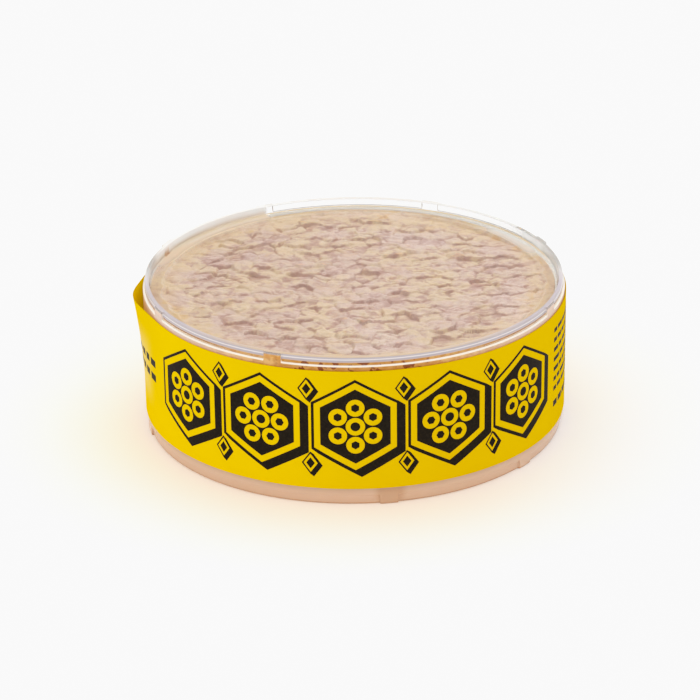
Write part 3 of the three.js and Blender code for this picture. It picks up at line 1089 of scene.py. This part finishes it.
def medallion(sheet, x, z, flip):
    """A hexagon plate with a drop shadow, a bare inline and a six-petalled flower."""
    def at(outline):
        return outline + (x, z)

    for step in np.linspace(0, 1, 7):
        sheet.add(at(polygon(6, PLATE_RADIUS, (1.5 * step, -1.1 * step), 90)))
    sheet.add(at(polygon(6, PLATE_RADIUS, turn=90)))
    sheet.add(at(polygon(6, PLATE_RADIUS - 0.8, turn=90)), ink=False)
    sheet.add(at(polygon(6, PLATE_RADIUS - 2.6, turn=90)))
    for k in range(6):
        turn = 60 * k + (0 if flip else 30)
        direction = np.array([math.cos(math.radians(turn)), math.sin(math.radians(turn))])
        sheet.add(at(polygon(24, 2.3, 5.0 * direction)), ink=False)
        sheet.add(at(polygon(6, 1.1, 5.0 * direction, turn)))
    sheet.add(at(polygon(24, 2.4)), ink=False)
    sheet.add(at(polygon(24, 1.2)))


def lozenge(sheet, x, z):
    """A small upright lozenge with a drop shadow and a bare inline."""
    stretch = np.array([0.72, 1])
    for step in np.linspace(0, 1, 4):
        sheet.add(polygon(4, 3.1, turn=90) * stretch + (x + 0.8 * step, z - 0.6 * step))
    sheet.add(polygon(4, 2.5, turn=90) * stretch + (x, z), ink=False)
    sheet.add(polygon(4, 1.5, turn=90) * stretch + (x, z))


def bars(sheet, rng, start, end, z, height, longest):
    """A row of plain bars of uneven length."""
    x = start
    while x < end - 1:
        length = min(rng.uniform(0.35, 1) * longest, end - x)
        sheet.add([(x, z), (x + length, z), (x + length, z + height), (x, z + height)])
        x += length + 0.75 * height


def add_ornament():
    """The label's print: plates linked by lozenges, and plain bars where small words would be."""
    sheet = Print()
    for k in range(5):
        medallion(sheet, (k - 2) * PLATE_PITCH, PLATE_LEVEL, k % 2)
    for k in range(4):
        lozenge(sheet, (k - 1.5) * PLATE_PITCH, PLATE_LEVEL + 9.8)
        lozenge(sheet, (k - 1.5) * PLATE_PITCH + 0.8, PLATE_LEVEL - 10.2)
    rng = np.random.default_rng(11)
    start, end = SMALL_PRINT
    for row in range(7):
        bars(sheet, rng, start, end, 10.5 + 2.7 * row, 1.1, 5.0)
    bars(sheet, rng, start, end - 4, 6.0, 1.6, 6.0)
    for row in range(2):
        bars(sheet, rng, -end, -start, 14.0 + 4.0 * row, 1.9, 6.5)
    flat, triangles = sheet.inked_triangles(PRINT_LOW, PRINT_HIGH)
    place_ink("label_ornament", flat, triangles)


def place_ink(name, flat, triangles):
    """Wraps flat print round the label as a thin closed layer."""
    azimuth = np.degrees(flat[:, 0] * MM / LABEL_RADIUS)
    z = LABEL_BOTTOM + flat[:, 1] * MM
    face = label_face(azimuth, z)
    count = len(flat)
    points = np.vstack([on_round(azimuth, face + INK, z), on_round(azimuth, face - INK, z)])
    faces = [tuple(t) for t in triangles]
    faces += [tuple(i + count for i in reversed(t)) for t in triangles]
    edges = {}
    for t in triangles:
        for a, b in zip(t, (*t[1:], t[0])):
            edges[a, b] = True
    for a, b in edges:
        if (b, a) not in edges:
            faces.append((b, a, a + count, b + count))
    used = sorted({i for f in faces for i in f})
    new = {old: i for i, old in enumerate(used)}
    faces = [tuple(new[i] for i in f) for f in faces]
    piece(name, points[used], faces, ink_finish(), smooth=False)


# ================================================================ studio

def add_floor():
    mesh = bpy.data.meshes.new("floor")
    signs = ((-1, -1), (1, -1), (1, 1), (-1, 1))
    corners = [(x * PAPER_HALF, y * PAPER_HALF, -PAPER_DROP) for x, y in signs]
    mesh.from_pydata(corners, [], [(0, 1, 2, 3)])
    mesh.materials.append(floor_finish())
    floor = bpy.data.objects.new("floor", mesh)
    bpy.context.scene.collection.objects.link(floor)


def add_lamp(name, place, size, power, aim=(0, 0, 0.02)):
    """A soft square lamp that faces the object."""
    data = bpy.data.lights.new(name, "AREA")
    data.shape = "SQUARE"
    data.size = size
    data.energy = power
    lamp = bpy.data.objects.new(name, data)
    lamp.location = place
    lamp.rotation_euler = (Vector(aim) - Vector(place)).to_track_quat("-Z", "Y").to_euler()
    bpy.context.scene.collection.objects.link(lamp)
    return lamp


def light_only(lamp, names):
    """A lamp that lights only some pieces, like a small lamp flagged off the floor."""
    lit = bpy.data.collections.new(lamp.name + "_lights")
    for name in names:
        lit.objects.link(bpy.data.objects[name])
    lamp.light_linking.receiver_collection = lit


def add_daylight():
    """A white room, a little brighter overhead and to the front left. Low at the back it is
    dimmer, so that the flat cover mirrors little of it."""
    f = Finish(bpy.data.worlds.new("white_room"))
    toward = f.node("ShaderNodeTexCoord", output="Generated")
    up = f.node("ShaderNodeSeparateXYZ", None, {"Vector": toward}, "Z")

    def facing(direction):
        settings = {"operation": "DOT_PRODUCT"}
        unit = Vector(direction).normalized()
        return f.node("ShaderNodeVectorMath", settings, {0: toward, 1: unit}, "Value")

    dim = facing((0, 0.906, 0.423)).ramp(0.945, 0.985)
    side = facing((-0.6, -0.8, 0.3))
    strength = (0.93 + 0.34 * up.ramp(0.3, 0.9) + 0.08 * side) * (1 - 0.6 * dim)
    tint = f.mixed(up.ramp(0.0, 0.5), "#f1eef4", "#ffffff")
    light = f.node("ShaderNodeBackground", None, {"Color": tint, "Strength": strength})
    bpy.context.scene.world = f.show(light, "ShaderNodeOutputWorld")


def add_camera():
    """Aimed so that the base's centre falls on its place in the frame, rolled a little."""
    up_angle = CAMERA_ELEVATION
    place = Vector((0, -math.cos(up_angle), math.sin(up_angle))) * CAMERA_DISTANCE
    forward = -place.normalized()
    right = Vector((1, 0, 0))
    up = right.cross(forward)
    c, s = math.cos(CAMERA_ROLL), math.sin(CAMERA_ROLL)
    rolled_right, rolled_up = right * c - up * s, up * c + right * s
    off_x = BASE_PIXEL[0] - FRAME_PIXELS / 2
    off_y = BASE_PIXEL[1] - FRAME_PIXELS / 2
    aim = (forward * FOCAL_PIXELS - rolled_right * off_x + rolled_up * off_y).normalized()
    side = aim.cross(rolled_up).normalized()
    data = bpy.data.cameras.new("camera")
    data.sensor_width = SENSOR_MM
    data.lens = FOCAL_PIXELS / FRAME_PIXELS * SENSOR_MM
    data.clip_start, data.clip_end = 0.01, 20
    camera = bpy.data.objects.new("camera", data)
    camera.matrix_world = Matrix.Translation(place) @ Matrix(
        (side, side.cross(aim), -aim)
    ).transposed().to_4x4()
    bpy.context.scene.collection.objects.link(camera)
    bpy.context.scene.camera = camera


def soften_white():
    """Rounds off what is brighter than the paper, as film does."""
    view = bpy.context.scene.view_settings
    view.view_transform = "Standard"
    view.use_curve_mapping = True
    curve = view.curve_mapping
    curve.extend = "HORIZONTAL"
    points = curve.curves[3].points
    points[0].location, points[1].location = (0, 0), (1, 0.9505)
    points.new(0.88, 0.88)
    curve.update()


def let_light_through():
    """Enough bounces for light to find its way out of the clear ridges."""
    cycles = bpy.context.scene.cycles
    for kind in ("max", "glossy", "transmission", "transparent_max"):
        setattr(cycles, kind + "_bounces", 32)


def main():
    soften_white()
    let_light_through()
    add_camera()
    add_floor()
    add_daylight()
    add_comb()
    add_rings()
    add_covers()
    add_label_film()
    add_ornament()
    lamp = add_lamp("comb_lamp", LAMP_PLACE, LAMP_SIZE, LAMP_POWER)
    light_only(lamp, ("comb_wax", "wax_rim", "section_ring_upper", "clear_cover_upper"))


main()
